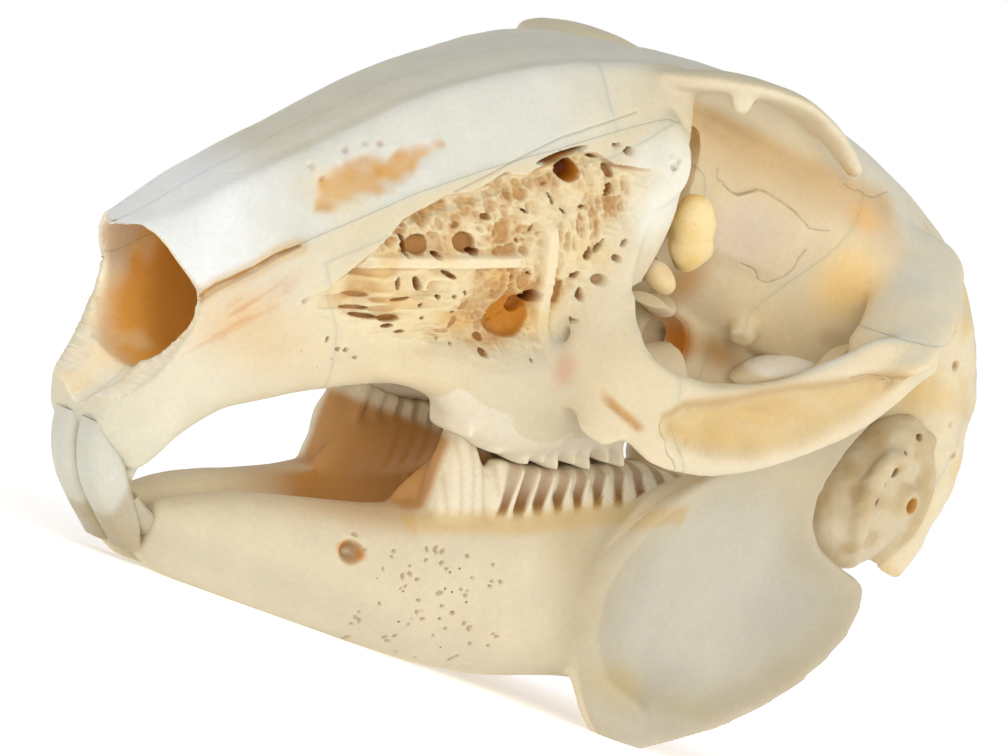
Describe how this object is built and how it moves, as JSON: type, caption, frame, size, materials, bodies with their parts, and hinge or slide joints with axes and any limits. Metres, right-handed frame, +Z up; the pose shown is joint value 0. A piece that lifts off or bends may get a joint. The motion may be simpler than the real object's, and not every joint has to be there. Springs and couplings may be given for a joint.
{
  "type": "rabbit skull",
  "caption": "Life-size rabbit skull with its lower jaw closed, resting on the jaw: long nose, latticed cheek, open eye socket, cheek arch and curved front teeth.",
  "frame": {"origin": "centre of the skull's footprint, on the floor it rests on", "axes": "+X from the nose to the back of the skull, -Y to the skull's left side, +Z up"},
  "size_m": [0.088, 0.0428, 0.0534],
  "materials": {
    "bone": "dry cleaned bone, smooth and slightly waxy",
    "tooth": "pale enamel, satin"
  },
  "bodies": {
    "root": {"nasal_left": "bone", "nasal_right": "bone", "premaxilla_left": "bone", "premaxilla_right": "bone", "maxilla_left": "bone", "maxilla_right": "bone", "zygomatic_left": "bone", "zygomatic_right": "bone", "frontal": "bone", "braincase": "bone", "occipital": "bone", "bulla_left": "bone", "bulla_right": "bone", "mandible_left": "bone", "mandible_right": "bone", "upper_incisor_left": "tooth", "upper_incisor_right": "tooth", "peg_incisor_left": "tooth", "peg_incisor_right": "tooth", "lower_incisor_left": "tooth", "lower_incisor_right": "tooth"}
  },
  "joints": []
}
